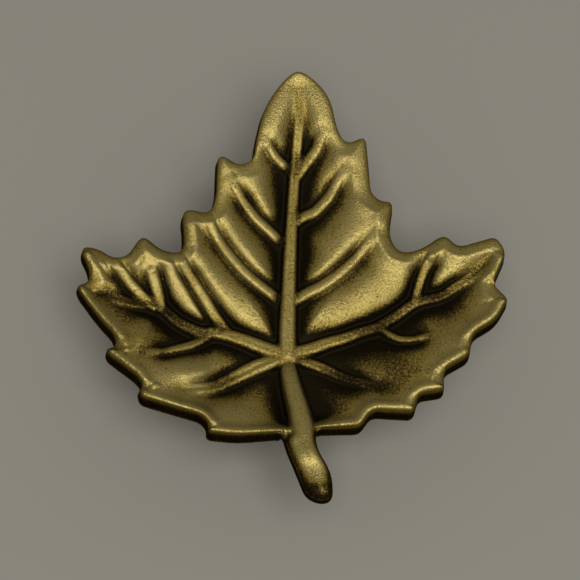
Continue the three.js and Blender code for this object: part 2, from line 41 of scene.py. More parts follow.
# millimetres, +Y to the tip, heights over the dish's floor unless a note says otherwise
leaf = {
    "width": 51.0, "length": 53.0, "projection": 17.0,
    # the dish, and folds along its veins that run out toward the tips
    "bowlCentreY": -3.0, "bowlRise": 1.9, "bowlReach": 25.0,
    "foldRise": 1.6, "foldReach": 3.8, "foldPower": 1.6, "foldBlend": 0.8, "lowerFoldEase": 1.0,
    "foldEndsFrom": 0.55, "foldRunOut": 3.2,
    "leftDroop": 1.0, "leftDroopX": (17.0, 25.0),  # to the left
    "sinkLean": (0.1, 0.35),  # how far a deep vein lies toward the tip
    # puffed blades with a gutter along each vein; toward the stalk they only puff up away from the hub
    "bladePuff": 1.05, "lowerPuff": (2.0, 13.0), "lowerPuffY": (6.0, 9.0),
    "gutterAbove": 0.5, "gutterBelow": 2.1, "gutterBesideStalk": (1, 4), "gutterPower": 1.4,
    "gutterStartOfFoot": 0.9, "gutterLeftAtTip": 0.8, "gutterFadesFrom": 0.7,
    "veinFlank": 0.22, "veinCrown": 3.4, "veinFadesFrom": 0.78, "hubRadius": 2.1, "hubHeight": 1.15,
    # rims of the side lobes, the middle lobe and the lower edges, and where one gives way to the next
    "sideRim": {"band": 1.8, "crest": 0.25, "reach": 0.7, "drop": 1.05, "round": 0.2},
    "tipRim": {"band": 2.2, "crest": 0.1, "reach": 1.3, "drop": 0.85, "round": 0.35},
    "lowerLeftRim": {"band": 0.65, "crest": 0.34, "reach": 0.75, "drop": 0.55, "round": 0.95},
    "lowerRightRim": {"band": 0.95, "crest": 0.34, "reach": 0.75, "drop": 0.9, "round": 0.95},
    "tipRimY": (6.0, 11.0), "lowerRimRun": (-0.2, 0.6), "rightRimX": (-3, 5),
    "rimLevel": 0.8, "rimLevelReach": 1.3,
    # wall and back
    "wallDraft": 0.24, "upperSkirt": 1.8, "lowerSkirt": 2.2, "skirtY": (-10.0, 2.0), "skirtReach": 3.0,
    "backThickness": 2.3, "backFoldShare": 0.55, "thinnest": 0.5,
    # stalk, in pairs from the hub to its end or from its left to its right
    "stalkAxisRise": (-0.8, 0.4, 1.15, 1.75, 2.25, 2.5, 0.8), "stalkHalfDepth": 1.5, "stalkFlank": 0.97,
    "stalkFlankFall": 3.0, "stalkCrown": (3.4, 2.2), "stalkSides": (1.3, 0.85), "stalkWidening": 1.1,
    "stalkFillsOver": 1.1, "stalkWebFall": 0.6, "bladeSlack": 0.1,
    # post and screw hole, heights over the foot
    "footRadius": 6.0, "rootRadius": 6.8, "fillet": 2.0, "footChamfer": 0.5,
    "holeRadius": 1.65, "holeDepth": 9.0, "holeMouth": 2.1, "drillTip": 0.9,
    "mouthEased": (0.1, 0.05), "countersink": (0.1, 0.4),  # out and up
    "threadDepth": 0.36, "threadPitch": 0.7, "threadFrom": 0.5, "threadEndsBefore": 0.4, "threadFades": 0.5,
}

# how finely the mesh is drawn
grid = {
    "drawn": 0.2, "rim": 0.26, "face": 0.23, "back": 0.8, "line": 0.3, "stalkAxis": 0.01,
    "bendSteps": 12, "splineSteps": 24,
    "faceRings": (0.265, 0.3, 0.35, 0.42, 0.52, 0.65), "ringKept": 0.93, "faceClear": 0.78,
    "roundingMeets": 0.65,  # this far in, the rim's rounding has caught up with the drafted wall
    "backEdge": 0.2, "wallFoot": ((0.06, 0.05), (0.0, 0.2)),  # in and up
    "wallParts": (0.25, 0.5, 0.75, 0.9), "wallLean": 0.85,
    "backClear": 0.6, "rootClear": 0.4, "postSides": 96, "filletRings": 8, "footTurns": (0.4, 0.8, 1.2),
    "threadSteps": 8,
}

# corners from the tip round by the left: x, y and how far from the corner its bend starts
bladeLeft = [
    (-0.2, 26.6, 3), (-3.4, 22.4, 3), (-4.45, 18.2, 3), (-4.8, 15.5, 1.1), (-6.4, 14.85, 1), (-8.1, 16, 0.9),
    (-9.15, 15.7, 0.9), (-9.25, 13, 1.5), (-9.3, 10.8, 1), (-9.95, 8.8, 1), (-12, 9.2, 0.7), (-13.05, 9, 1),
    (-13.4, 7.7, 1.2), (-13.15, 6, 1), (-13.2, 3.75, 1), (-15.5, 4, 0.9), (-17.95, 5.95, 1.4), (-19.8, 3.1, 0.9),
    (-21.35, 2.95, 0.9), (-22.9, 4, 0.8), (-24.95, 4.35, 1.2), (-25.35, 3.1, 0.8), (-24.4, 1.3, 0.7),
    (-24.2, 0, 0.7), (-25.75, -0.7, 0.5), (-25.5, -1.7, 0.7), (-22.9, -5.15, 1.5), (-21.3, -6.85, 0.7),
    (-20.95, -7.9, 0.4), (-22.1, -8.3, 0.4), (-22, -9.3, 0.6), (-18.4, -12.1, 0.6), (-17.8, -13, 0.3),
    (-18.3, -13.4, 0.4), (-17.95, -14.7, 0.6), (-10.9, -16.6, 0.6), (-10.15, -17.5, 0.4), (-10.2, -18.7, 0.7),
    (-6.5, -19, 1.5), (-1.4, -18.4, 0.7),
]
stalkOutline = [(-0.4, -21.8, 2), (1.75, -25.85, 1.6), (4.65, -26.05, 1.7), (4.75, -23.1, 1.6), (2.85, -20.1, 1.4)]
bladeRight = [
    (2.6, -17.8, 0.9), (7.85, -17.75, 0.8), (9.3, -15.7, 0.8), (14.2, -16.05, 0.8), (14.9, -13.75, 0.6),
    (17.95, -13.3, 0.8), (18, -10.7, 0.7), (21.05, -9, 0.9), (21.5, -6.35, 0.8), (24.3, -4.75, 1.2),
    (26, -1.9, 0.9), (24.2, 0.1, 0.7), (26, 4, 1.5), (24.5, 6.15, 0.9), (20, 4.95, 0.8), (18.35, 6.7, 1.5),
    (15.5, 4.7, 1.5), (13, 4.25, 1.4), (11.95, 6.2, 1.4), (12.1, 8.2, 1), (12.5, 10.55, 1.1), (10.7, 10.8, 0.6),
    (9.75, 11.8, 0.8), (9.55, 14.9, 1.5), (9.2, 18.85, 1.3), (6.7, 17.8, 0.9), (5.75, 19.4, 1.3), (4.85, 23.7, 2),
    (1.8, 26.6, 2.5),
]
# each vein: kind, widths and heights at root and tip, points on its crest, share over which its root sinks, and how
# far its gutters reach above and below it where they aren't the usual ones
junction = (-0.7, -8.8)
veins = [
    ("main", 2.2, 1.0, 1.25, 0.7, [junction, (-0.65, -5), (-0.45, 0), (-0.2, 5), (0.1, 10), (0.4, 14), (0.75, 18),
                                   (0.95, 21), (0.8, 24.3)], 0, (1.3, 1.3)),
    ("main", 1.8, 1.0, 1.1, 0.6, [junction, (2, -8.1), (4, -7.3), (6, -6.7), (8, -5.9), (10.1, -5.2), (12.6, -3.6),
                                  (14.7, -2.1), (17.8, -1.3), (19.3, -0.4), (21, 0.7), (23.5, 2.8)], 0, (0.5, 3.6)),
    ("side", 1.3, 1.1, 0.85, 0.5, [(14.7, -2.1), (15.2, 0), (15.9, 1.9), (17.3, 4.3)], 0, (0.7, 0.7)),
    ("side", 1.0, 0.6, 0.85, 0.35, [(10.3, -5.2), (11.7, -6.1), (12.8, -6.5), (14.2, -6.5),
                                    (16.6, -6)], 0, (0.9, 0.9)),
    ("low", 1.6, 0.8, 0.95, 0.35, [junction, (2, -9.8), (4, -10.6), (6, -11.5), (9.8, -12.9)], 0, 0),
    ("main", 2.0, 1.1, 1.15, 0.5, [junction, (-2.8, -8.3), (-5, -7.4), (-7, -6.7), (-9, -6.2), (-10.6, -6.3),
                                   (-12, -5.8), (-13.8, -4.8), (-15.2, -3.6), (-16.5, -3), (-18.7, -2.9),
                                   (-20.7, -2.5), (-22.8, -1.9)], 0, 0),
    ("side", 1.5, 1.0, 0.9, 0.4, [(-16.4, -3), (-17.5, -2.2), (-18.9, -0.7), (-20.2, 0.8),
                                  (-21.9, 2.7)], 0, (0.9, 0.9)),
    ("side", 1.5, 1.6, 0.95, 0.75, [(-15.7, -3.1), (-16, -1.6), (-16.25, -0.4), (-16.6, 0.8),
                                    (-17, 1.9)], 0, (0.5, 0.5)),
    ("side", 1.3, 0.7, 0.85, 0.35, [(-9.8, -6.3), (-11.8, -7.5), (-13.8, -8.1), (-15.8, -8.6),
                                    (-17.4, -8.9)], 0, (0.9, 0.9)),
    ("side", 1.6, 1.1, 0.85, 0.4, [(-7.6, -6.5), (-9.3, -4.2), (-10.3, -2.4), (-11.5, -0.3), (-12.6, 1.5),
                                    (-14.1, 3.6)], 0, (0.7, 0.3)),
    ("low", 2.2, 1.2, 1.1, 0.45, [junction, (-2.05, -9.4), (-4, -10.2), (-6, -11.2), (-7.9, -12.2), (-9.9, -13.1),
                                  (-12.9, -13.5)], 0, 0),
    ("side", 1.3, 0.9, 0.8, 0.4, [(0.4, 14.1), (-1.2, 15.4), (-2.2, 16.5), (-3.3, 18)], 0.3, 0),
    ("side", 1.4, 1.0, 0.9, 0.4, [(-0.4, 4.6), (-1.9, 5.9), (-3, 7), (-4.4, 8.4), (-6, 10.65), (-7.4, 13)], 0.2, 0),
    ("side", 1.4, 1.0, 0.9, 0.4, [(-0.7, -2.7), (-2.2, -1.5), (-5, 0.8), (-6.75, 2.65), (-8.3, 4.7), (-9.5, 6.6),
                                  (-10.5, 8.7)], 0.16, 0),
    ("side", 1.8, 1.1, 0.85, 0.45, [(0.45, 13.6), (1.4, 15), (2.85, 16.8), (3.4, 18), (3.6, 19.1)], 0, 0),
    ("side", 1.6, 1.0, 0.85, 0.4, [(0.1, 7.6), (1.3, 8.5), (2.6, 9.1), (3.5, 9.95), (4.5, 11.1), (5.2, 12.3),
                                   (6.4, 14.4)], 0, 0),
    ("side", 1.6, 1.0, 0.85, 0.4, [(-0.55, -2.6), (1.4, -1.25), (3.36, -0.2), (5.3, 1.2), (6.9, 2.65), (8.25, 4.1),
                                   (10.1, 6.5)], 0, 0),
]
# widths at the hub and the end, points along it
stalk = (2.2, 3.8, [junction, (-0.5, -11.3), (-0.05, -13.5), (0.45, -15.5), (0.9, -17.7), (1.25, -19.8),
                    (1.95, -21.9), (2.75, -24.7)])


def smoothstep(value, low, high):
    t = np.clip((value - low) / (high - low), 0, 1)
    return t * t * (3 - 2 * t)


def resample(points, step, closed):
    pts = np.vstack([points, points[:1]]) if closed else np.asarray(points)
    run = np.concatenate([[0], np.cumsum(np.hypot(*np.diff(pts, axis=0).T))])
    count = max(2, int(round(run[-1] / step)))
    at = np.linspace(0, run[-1], count + 1)
    out = np.column_stack([np.interp(at, run, pts[:, 0]), np.interp(at, run, pts[:, 1])])
    return out[:-1] if closed else out


def roundedLoop(corners, step, centre, stretch):
    pts = (np.array([c[:2] for c in corners], float) - centre) * stretch
    bend = np.array([c[2] for c in corners], float)
    out = []
    for i in range(len(pts)):
        p, before, after = pts[i], pts[i - 1], pts[(i + 1) % len(pts)]
        toBefore, toAfter = before - p, after - p
        a = p + toBefore * min(bend[i] / np.hypot(*toBefore), 0.5)
        b = p + toAfter * min(bend[i] / np.hypot(*toAfter), 0.5)
        t = np.linspace(0, 1, grid["bendSteps"] + 1)[:, None]
        out.append((1 - t) ** 2 * a + 2 * t * (1 - t) * p + t ** 2 * b)
    return resample(np.vstack(out), step, True)


def splineLine(points, step):
    pts = np.array(points, float)
    padded = np.vstack([pts[:1], pts, pts[-1:]])
    t = np.linspace(0, 1, grid["splineSteps"] + 1)[:-1, None]
    out = []
    for i in range(len(pts) - 1):
        p0, p1, p2, p3 = padded[i:i + 4]
        v0, v1 = (p2 - p0) / 2, (p3 - p1) / 2
        out.append((2 * p1 - 2 * p2 + v0 + v1) * t ** 3 + (-3 * p1 + 3 * p2 - 2 * v0 - v1) * t ** 2 + v0 * t + p1)
    return resample(np.vstack(out + [pts[-1:]]), step, False)


# distance from each point to a line, how far along it (0 to 1), the unit way from the line to the point, and
# the line's own direction there
def nearest(line, points, closed=False):
    a = line if closed else line[:-1]
    ab = (np.roll(line, -1, 0) if closed else line[1:]) - a
    length2 = (ab ** 2).sum(1)
    gap, share = np.empty(len(points)), np.empty(len(points))
    away, run = np.empty((len(points), 2)), np.empty((len(points), 2))
    atOnce = 2000  # keeps the arrays small
    for start in range(0, len(points), atOnce):
        p = points[start:start + atOnce, None]
        t = np.clip(((p - a) * ab).sum(2) / length2, 0, 1)
        off = p - a - t[..., None] * ab
        d2 = (off ** 2).sum(2)
        k = d2.argmin(1)
        row = np.arange(len(k))
        here = slice(start, start + len(k))
        gap[here] = np.sqrt(d2[row, k])
        share[here] = (k + t[row, k]) / len(a)
        away[here] = off[row, k] / np.maximum(gap[here], 1e-9)[:, None]
        run[here] = ab[k] / np.sqrt(length2[k])[:, None]
    return gap, share, away, run


def inside(loop, points):
    result = np.zeros(len(points), bool)
    x, y = points[:, 0], points[:, 1]
    for (ax, ay), (bx, by) in zip(loop, np.roll(loop, 1, 0)):
        if ay != by:
            result ^= ((ay > y) != (by > y)) & (x < (bx - ax) * (y - ay) / (by - ay) + ax)
    return result


# the drawing is centred and stretched to the overall sizes
drawn = roundedLoop(bladeLeft + stalkOutline + bladeRight, grid["drawn"], np.zeros(2), np.ones(2))
drawnCentre = (drawn.max(0) + drawn.min(0)) / 2
drawnStretch = np.array([leaf["width"], leaf["length"]]) / (drawn.max(0) - drawn.min(0))
outline = roundedLoop(bladeLeft + stalkOutline + bladeRight, grid["rim"], drawnCentre, drawnStretch)
bladeOutline = roundedLoop(bladeLeft + bladeRight, grid["rim"], drawnCentre, drawnStretch)


def bowl(points):
    droop = leaf["leftDroop"] * smoothstep(-points[:, 0], *leaf["leftDroopX"])
    out = np.hypot(points[:, 0], points[:, 1] - leaf["bowlCentreY"])
    return leaf["bowlRise"] * (out / leaf["bowlReach"]) ** 2 - droop


def settledLine(points, foldAt):
    p = (np.array(points, float) - drawnCentre) * drawnStretch
    depth = np.maximum(0, leaf["bowlRise"] - bowl(p) - foldAt(p))
    return splineLine(p + np.outer(depth, leaf["sinkLean"]), grid["line"])


def noFold(points):
    return 0.0


stalkLine = settledLine(stalk[2], noFold)
lines = [settledLine(v[5], noFold) if v[0] != "side" else None for v in veins]
mainLines = [line for line, v in zip(lines, veins) if v[0] == "main"] + [stalkLine]
lowLines = [line for line, v in zip(lines, veins) if v[0] == "low"]


def fold(points):
    def gapTo(some):
        found = [nearest(line, points) for line in some]
        return np.min([gap + leaf["foldRunOut"] * smoothstep(share, leaf["foldEndsFrom"], 1)
                       for gap, share, _, _ in found], 0)

    mainGap = gapTo(mainLines)
    lowGap = gapTo(lowLines) + leaf["lowerFoldEase"]
    k = leaf["foldBlend"]
    both = np.maximum(0, -k * np.log(np.exp(-mainGap / k) + np.exp(-lowGap / k)))
    return leaf["foldRise"] * (1 - np.exp(-(both / leaf["foldReach"]) ** leaf["foldPower"]))


lines = [settledLine(v[5], fold) if line is None else line for line, v in zip(lines, veins)]


# along a lower edge the outline runs to the right
def rimAt(x, y, runsRight):
    tip = smoothstep(y, *leaf["tipRimY"])
    lower = smoothstep(runsRight, *leaf["lowerRimRun"]) * (1 - tip)
    right = smoothstep(x, *leaf["rightRimX"])
    out = []
    for key in ("band", "crest", "reach", "drop", "round"):
        upper = leaf["sideRim"][key] * (1 - tip) + leaf["tipRim"][key] * tip
        bottom = leaf["lowerLeftRim"][key] * (1 - right) + leaf["lowerRightRim"][key] * right
        out.append(upper * (1 - lower) + bottom * lower)
    return out


# heights of face and back over the dish's floor
def relief(points):
    # the stalk's bar
    low, high, _ = stalk
    gap, share, beside, _ = nearest(stalkLine, points)
    halfWidth = (low + (high - low) * share ** leaf["stalkWidening"]) / 2
    rises = leaf["stalkAxisRise"]
    axisLine = splineLine([(i / (len(rises) - 1), rise) for i, rise in enumerate(rises)], grid["stalkAxis"])
    axis = np.interp(share, axisLine[:, 0], axisLine[:, 1])
    edge, _, _, rimRun = nearest(bladeOutline, points, True)
    offBlade = (edge > leaf["bladeSlack"]) & ~inside(bladeOutline, points)
    fills = smoothstep(edge, 0, leaf["stalkFillsOver"]) * offBlade  # there the bar fills its own outline
    across = gap / halfWidth
    onRight = smoothstep(beside[:, 0], -1, 1)
    leftSide, rightSide = leaf["stalkSides"]
    side = halfWidth * (leftSide + (rightSide - leftSide) * onRight)
    across = across + (1 - nearest(outline, points, True)[0] / side - across) * fills
    atHub, atEnd = leaf["stalkCrown"]
    crown = atHub + (atEnd - atHub) * share
    halfHeight = leaf["stalkHalfDepth"] * np.sqrt(1 - np.clip(across, 0, leaf["stalkFlank"]) ** crown)
    flank = leaf["stalkFlankFall"] * np.maximum(0, gap - leaf["stalkFlank"] * halfWidth) * (1 - fills)
    flank = np.where(offBlade, np.minimum(flank, leaf["stalkWebFall"]), flank)
    bar = axis + halfHeight - flank
    # the dish; gutters and folds end short of the rim
    level = leaf["rimLevel"] * np.exp(-(edge / leaf["rimLevelReach"]) ** 2)
    dish, folded = bowl(points), fold(points)
    folded += (leaf["foldRise"] - folded) * level
    # veins and their gutters, which leave the blade free to puff up between them
    fromHub = np.hypot(*(points - stalkLine[0]).T)
    crest = leaf["hubHeight"] * (1 - np.minimum(1, fromHub / leaf["hubRadius"]) ** leaf["veinCrown"])
    toLeft, toRight = leaf["gutterBesideStalk"]
    reach = toLeft + (toRight - toLeft) * onRight
    free = 1 - np.exp(-(np.maximum(0, gap - halfWidth) / reach) ** leaf["gutterPower"])
    for (_, w0, w1, h0, h1, _, sunkRoot, gutters), line in zip(veins, lines):
        veinGap, along, veinAway, _ = nearest(line, points)
        foot = (w0 + (w1 - w0) * along) / 2 + leaf["veinFlank"]
        height = (h0 + (h1 - h0) * along) * (1 - smoothstep(along, leaf["veinFadesFrom"], 1))
        if sunkRoot:
            height = height * smoothstep(along, 0, sunkRoot)
        crest = np.maximum(crest, height * (1 - np.minimum(1, veinGap / foot) ** leaf["veinCrown"]))
        upper = smoothstep(veinAway[:, 1], -1, 1)
        above, under = gutters or (leaf["gutterAbove"], leaf["gutterBelow"])
        reach = under + (above - under) * upper
        left = 1 - leaf["gutterLeftAtTip"] * smoothstep(along, leaf["gutterFadesFrom"], 1)
        out = np.maximum(0, veinGap - leaf["gutterStartOfFoot"] * foot) / reach
        free = free * (1 - left * np.exp(-out ** leaf["gutterPower"]))
    free += (1 - free) * level
    lowerSide = smoothstep(-points[:, 1], *leaf["lowerPuffY"])
    puff = leaf["bladePuff"] * (1 - lowerSide * (1 - smoothstep(fromHub, *leaf["lowerPuff"])))
    # the rim
    band, rimCrest, rimReach, drop, roundShare = rimAt(points[:, 0], points[:, 1], rimRun[:, 0])
    inward = np.maximum(0, edge - band)
    outward = np.clip(1 - edge / band, 0, 1)
    roundOver = (1 - roundShare) * outward + roundShare * (1 - np.sqrt(1 - outward ** 2))
    blade = dish + folded + puff * free + crest - drop * roundOver
    blade += rimCrest * np.exp(-(inward / rimReach) ** 2)
    face = np.where(offBlade, bar, np.maximum(blade, bar))
    # the back
    nearRim = np.exp(-(edge / leaf["skirtReach"]) ** 2)
    upperSide = smoothstep(points[:, 1], *leaf["skirtY"])
    skirt = leaf["lowerSkirt"] + (leaf["upperSkirt"] - leaf["lowerSkirt"]) * upperSide
    thin = leaf["backFoldShare"] * folded - leaf["backThickness"]
    back = np.where(offBlade, axis - halfHeight, dish + thin + (folded - skirt - thin) * nearRim)
    return face, np.minimum(back, face - leaf["thinnest"])


def inset(loop, distance):
    along = np.roll(loop, -1, 0) - np.roll(loop, 1, 0)
    along /= np.hypot(*along.T)[:, None]
    return loop + distance * np.column_stack([-along[:, 1], along[:, 0]])


# triangles of the sites that lie inside the loop (the first sites) and outside the round hole (the last ones)
def triangulate(sites, loopCount, holeCount=0):
    n = len(sites)
    ring = [(i, (i + 1) % loopCount) for i in range(loopCount)]
    first = n - holeCount
    ring += [(first + i, first + (i + 1) % holeCount) for i in range(holeCount)]
    verts, _, faces, origin, _, _ = delaunay_2d_cdt([Vector(p) for p in sites], ring, [], 0, 1e-6)
    source = np.array([o[0] if o else -1 for o in origin])
    flat = np.array([(v.x, v.y) for v in verts])
    tris = np.array([f for f in faces if len(f) == 3])
    middle = flat[tris].mean(1)
    keep = inside(np.asarray(sites[:loopCount]), middle)
    if holeCount:
        justInside = 0.999 * math.cos(math.pi / holeCount)
        keep &= np.hypot(*middle.T) > np.hypot(*sites[-1]) * justInside
    tris = source[tris[keep]]
    return tris[(tris >= 0).all(1)]


def hexSites(step, loop, clear):
    half = leaf["length"] / 2 + 1
    rows = np.arange(-half, half, step * math.sqrt(0.75))
    cols = np.arange(-half, half, step)
    x, y = np.meshgrid(cols, rows)
    x[1::2] += step / 2
    points = np.column_stack([x.ravel(), y.ravel()])
    points = points[inside(loop, points)]
    return points[nearest(loop, points, True)[0] > clear]


# the wall leans in by its draft, so the rim's rounding starts there and not at the outline
def reliefFromWall(points, gapToRim, inward):
    draft, meets = leaf["wallDraft"], grid["roundingMeets"]
    meant = np.where(gapToRim < meets, np.maximum(0, gapToRim - draft) * meets / (meets - draft), gapToRim)
    return relief(points + inward * (meant - gapToRim)[:, None])


verts, tris = [], []
vertCount = 0


def addVerts(xy, z):
    global vertCount
    start = vertCount
    verts.append(np.column_stack([xy, z]))
    vertCount += len(xy)
    return start


def addStrip(lower, upper, count):  # joins two rings of the same count, the first lying below or outside
    i = np.arange(count)
    j = (i + 1) % count
    tris.append(np.column_stack([lower + i, lower + j, upper + j]))
    tris.append(np.column_stack([lower + i, upper + j, upper + i]))


# face
rimCount = len(outline)
ringSites = []
for distance in grid["faceRings"]:
    ring = inset(outline, distance)
    gap = nearest(outline, ring, True)[0]
    ringSites.append(ring[(gap > grid["ringKept"] * distance) & inside(outline, ring)])
fill = hexSites(grid["face"], outline, grid["faceClear"])
topLoop = inset(outline, leaf["wallDraft"])
faceSites = np.vstack([topLoop] + ringSites + [fill])
gap, _, inward, _ = nearest(outline, faceSites, True)
face, _ = reliefFromWall(faceSites, gap, inward)
faceFloor = leaf["projection"] - face.max()
faceTris = triangulate(faceSites, rimCount)
tris.append(faceTris + addVerts(faceSites, face + faceFloor))
print("face: %d sites, floor %.2f mm" % (len(faceSites), faceFloor))

# back
rootRadius = leaf["rootRadius"] + leaf["fillet"]
postSides = grid["postSides"]
turn = np.arange(postSides) * 2 * math.pi / postSides
postCircle = np.column_stack([np.cos(turn), np.sin(turn)])
backLoop = inset(outline, grid["backEdge"])
backFill = hexSites(grid["back"], outline, grid["backClear"])
backFill = backFill[np.hypot(*backFill.T) > rootRadius + grid["rootClear"]]
backSites = np.vstack([backLoop, backFill, postCircle * rootRadius])
back = relief(backSites)[1] + faceFloor
backTris = triangulate(backSites, rimCount, postSides)
backStart = addVerts(backSites, back)
tris.append(backTris[:, ::-1] + backStart)

# wall, with a small radius at its lower edge
wallTop, wallFoot = face[:rimCount] + faceFloor, back[:rimCount]
below = backStart
for stepIn, lift in grid["wallFoot"]:
    ring = addVerts(inset(outline, stepIn), wallFoot + lift)
    addStrip(below, ring, rimCount)
    below = ring
wallRings = []
for part in grid["wallParts"]:  # from the end of that radius up to the rim
    z = wallFoot + lift + (wallTop - wallFoot - lift) * part
    ring = addVerts(inset(outline, leaf["wallDraft"] * part * grid["wallLean"]), z)
    wallRings.append((ring, part))
    addStrip(below, ring, rimCount)
    below = ring
addStrip(below, 0, rimCount)

# post: fillet, taper, foot, countersink, threaded hole
rootHeights = back[-postSides:]
filletFoot = rootHeights.min() - leaf["fillet"]
above = backStart + len(backSites) - postSides
for t in np.linspace(0, 1, grid["filletRings"] + 1)[1:]:
    r = rootRadius - leaf["fillet"] * math.sin(t * math.pi / 2)
    down = 1 - math.cos(t * math.pi / 2)
    z = (rootHeights - leaf["fillet"] * down) * (1 - down ** 2) + filletFoot * down ** 2
    ring = addVerts(postCircle * r, z)
    addStrip(ring, above, postSides)
    above = ring
foot, c = leaf["footRadius"], leaf["footChamfer"]
(easedOut, easedUp), (throatOut, throatUp) = leaf["mouthEased"], leaf["countersink"]
profile = [(foot, c)]
profile += [(foot - c + c * math.cos(a), c - c * math.sin(a)) for a in (*grid["footTurns"], math.pi / 2)]
profile += [(leaf["holeMouth"] + easedOut, 0), (leaf["holeMouth"], easedUp),
            (leaf["holeRadius"] + throatOut, throatUp)]
for r, z in profile:
    ring = addVerts(postCircle * r, np.full(postSides, z))
    addStrip(ring, above, postSides)
    above = ring
threadEnd = leaf["holeDepth"] - leaf["threadEndsBefore"]
for z in np.arange(leaf["threadFrom"], threadEnd, leaf["threadPitch"] / grid["threadSteps"]):
    phase = (z / leaf["threadPitch"] - turn / (2 * math.pi)) % 1
    cut = leaf["threadDepth"] * np.clip(1.25 - 2.5 * np.abs(phase - 0.5), 0, 1)  # flat root, sloping flanks
    radius = leaf["holeRadius"] + cut * min(1, (threadEnd - z) / leaf["threadFades"])
    ring = addVerts(postCircle * radius[:, None], np.full(postSides, z))
    addStrip(ring, above, postSides)
    above = ring
ring = addVerts(postCircle * leaf["holeRadius"], np.full(postSides, leaf["holeDepth"]))
addStrip(ring, above, postSides)
tip = addVerts(np.zeros((1, 2)), np.array([leaf["holeDepth"] + leaf["drillTip"]]))
i = np.arange(postSides)
tris.append(np.column_stack([ring + (i + 1) % postSides, ring + i, np.full(postSides, tip)]))
print("post done")

coords = np.vstack(verts)
tris = np.vstack(tris)


# patina and painted shade, from rubbed bright (below 0) to black (1)
wearAndShade = {
    "step": 0.25, "margin": 3, "blurs": (0.6, 1.8, 4.5), "freeOfRim": 1.6,  # no hollow counts nearer to the rim
    "crests": 2.2, "grooves": 0.6, "gutters": 1.0, "dish": 0.8, "brightest": -0.75,
    "back": 0.25, "wall": 0.9, "wallPower": 6,  # the wall is painted dark as painted shade, and this thins toward the rim
    # the stalk's off-blade flanks are darker: partly patina, partly painted shade
    "stalkFlanks": 0.7, "flankReach": 1.3,
    # the stalk's side of the dish, darkened as painted shade: how much at left and right, and from where
    "stalkSideShade": (0.1, 0.44), "stalkSideShadeX": (-2, 4), "stalkSideShadeBelow": (1, 8), "stalkSideShadeFromRim": (0.8, 3.2),
    # single places, partly patina, partly painted shade (more) and painted highlight (less): x, y, reach and how
    # much more
    "places": [(-19, -8.2, 3.8, 0.8), (12, -11.5, 3.6, 0.6), (-6, 10.5, 2.5, 0.4), (4, 3.5, 2.6, 0.35),
               (4.5, 8, 3, 0.2), (-5, -1.5, 3, 0.35), (8.5, -2.5, 3, 0.2), (-9.5, -15, 3, -0.5), (17, 1, 3, 0.25),
               (14.5, -3, 2, -0.3)],
    "placesFromRim": (0.5, 1.5),
}


# how far each point lies below the face smoothed over three widths: the polish misses hollows, so they stay dark as
# patina; the widest one also darkens the dish's broad basins as painted shade
def hollowOf():
    step = wearAndShade["step"]
    half = leaf["length"] / 2 + wearAndShade["margin"]
    at = np.arange(-half, half, step)
    x, y = np.meshgrid(at, at)
    flat = np.column_stack([x.ravel(), y.ravel()])
    mask = inside(outline, flat)
    z = np.zeros(len(flat))
    z[mask] = relief(flat[mask])[0]
    fromEdge = smoothstep(nearest(outline, flat, True)[0], 0, wearAndShade["freeOfRim"]).reshape(x.shape)
    z, mask = z.reshape(x.shape), mask.reshape(x.shape).astype(float)

    def blur(field, sigma):
        reach = np.arange(-int(3 * sigma / step), int(3 * sigma / step) + 1) * step
        kernel = np.exp(-(reach / sigma) ** 2 / 2)
        kernel /= kernel.sum()
        field = np.apply_along_axis(np.convolve, 0, field, kernel, "same")
        return np.apply_along_axis(np.convolve, 1, field, kernel, "same")

    where = (coords[:, :2] + half) / step
    k = np.clip(where.astype(int), 0, len(at) - 2)
    f = where - k
    out = []
    for sigma in wearAndShade["blurs"]:
        smooth = blur(z * mask, sigma) / np.maximum(blur(mask, sigma), 1e-3)
        field = (smooth - z) * mask * fromEdge
        low = field[k[:, 1], k[:, 0]] * (1 - f[:, 0]) + field[k[:, 1], k[:, 0] + 1] * f[:, 0]
        high = field[k[:, 1] + 1, k[:, 0]] * (1 - f[:, 0]) + field[k[:, 1] + 1, k[:, 0] + 1] * f[:, 0]
        out.append(low * (1 - f[:, 1]) + high * f[:, 1])
    return out


narrow, wide, deep = hollowOf()
faceCount = len(faceSites)
x, y = faceSites.T
patinaAndShade = np.full(len(coords), wearAndShade["back"])
# rubbed crests and patina in grooves and gutters, with painted shade in the dish's broad basins
wornAndShaded = np.where(narrow < 0, wearAndShade["crests"], wearAndShade["grooves"]) * narrow + wearAndShade["gutters"] * wide + wearAndShade["dish"] * deep
patinaAndShade[:faceCount] = np.maximum(wearAndShade["brightest"], wornAndShaded)[:faceCount]
onStalk = ~inside(bladeOutline, faceSites)
# darker stalk flanks, partly patina and partly painted shade
patinaAndShade[:faceCount] += wearAndShade["stalkFlanks"] * onStalk * (1 - smoothstep(gap, 0, wearAndShade["flankReach"]))
# painted shade over the stalk's side of the dish
stalkSideShade = smoothstep(-y, *wearAndShade["stalkSideShadeBelow"]) * smoothstep(gap, *wearAndShade["stalkSideShadeFromRim"]) * ~onStalk
leftShare, rightShare = wearAndShade["stalkSideShade"]
patinaAndShade[:faceCount] += stalkSideShade * (leftShare + (rightShare - leftShare) * smoothstep(x, *wearAndShade["stalkSideShadeX"]))
# single places: patina, with painted shade where darker and painted highlight where lighter
for placeX, placeY, reach, more in wearAndShade["places"]:
    far = np.hypot(x - placeX, y - placeY) / reach
    patinaAndShade[:faceCount] += more * np.exp(-far ** 2) * smoothstep(gap, *wearAndShade["placesFromRim"])
# the wall rings get painted shade, fading toward the rim
for ring, part in wallRings:
    patinaAndShade[ring:ring + rimCount] = wearAndShade["wall"] + (patinaAndShade[:rimCount] - wearAndShade["wall"]) * part ** wearAndShade["wallPower"]

